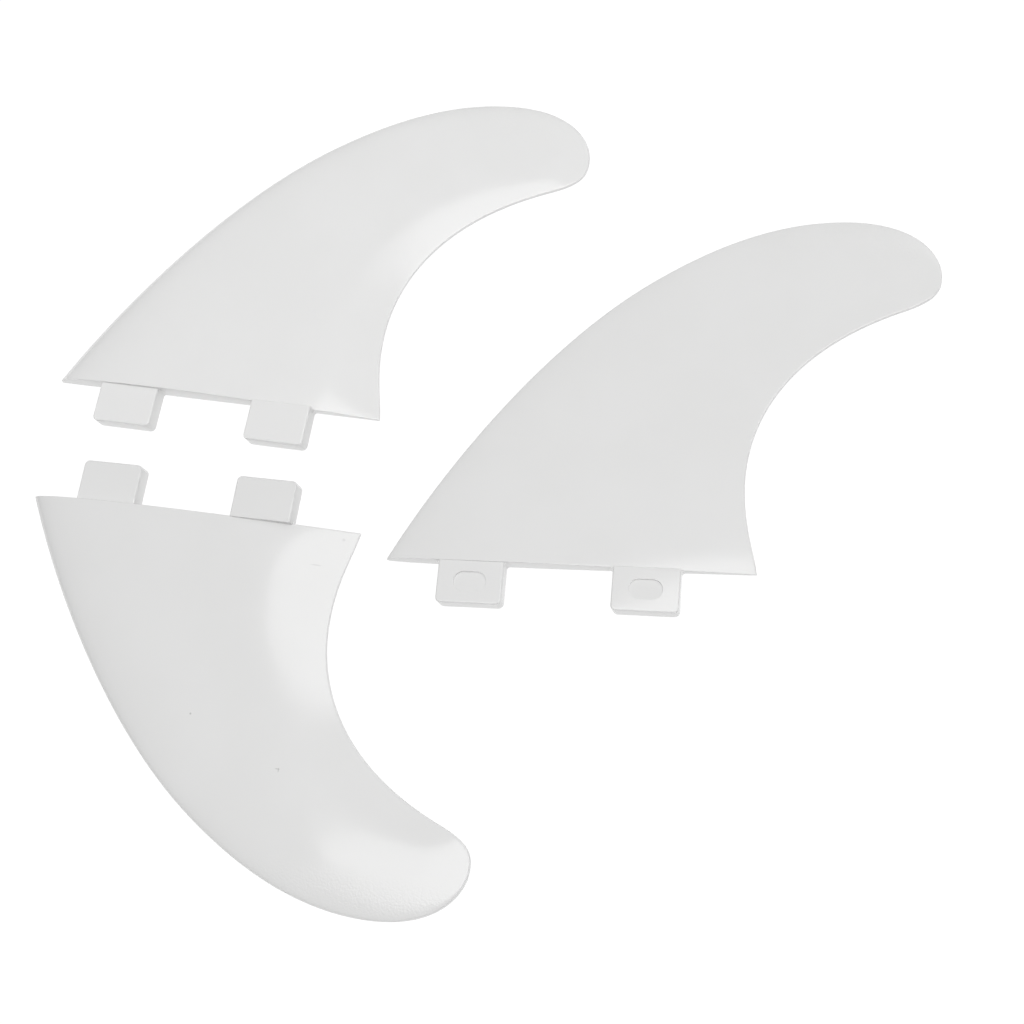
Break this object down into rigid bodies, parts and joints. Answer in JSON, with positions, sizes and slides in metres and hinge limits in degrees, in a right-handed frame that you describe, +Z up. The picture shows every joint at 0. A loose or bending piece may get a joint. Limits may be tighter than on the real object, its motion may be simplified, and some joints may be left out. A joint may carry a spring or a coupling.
{
  "type": "surfboard fin set",
  "caption": "Thruster set of surfboard fins in glossy white plastic: a symmetric centre fin and mirrored, flat-sided side fins, all with box tabs that plug into the board.",
  "frame": {"origin": "middle of the set's bounding box, on the surface that the fins lie on", "axes": "+X runs along the centre fin's base from its leading corner back to its trailing corner, +Y from that base towards its tip, +Z up from the surface"},
  "size_m": [0.2994, 0.2773, 0.0078],
  "materials": {
    "white_plastic": "glossy moulded fibre-filled plastic, plain white, with a faint orange-peel texture"
  },
  "bodies": {
    "centre": {"centre_fin": "white_plastic"},
    "right": {"right_fin": "white_plastic"},
    "left": {"left_fin": "white_plastic"}
  },
  "joints": [
    {"name": "right_fin_lift", "type": "slide", "parent": "centre", "child": "right", "axis": [0, 0, 1], "range_m": [0, 0.1]},
    {"name": "left_fin_lift", "type": "slide", "parent": "centre", "child": "left", "axis": [0, 0, 1], "range_m": [0, 0.1]}
  ]
}
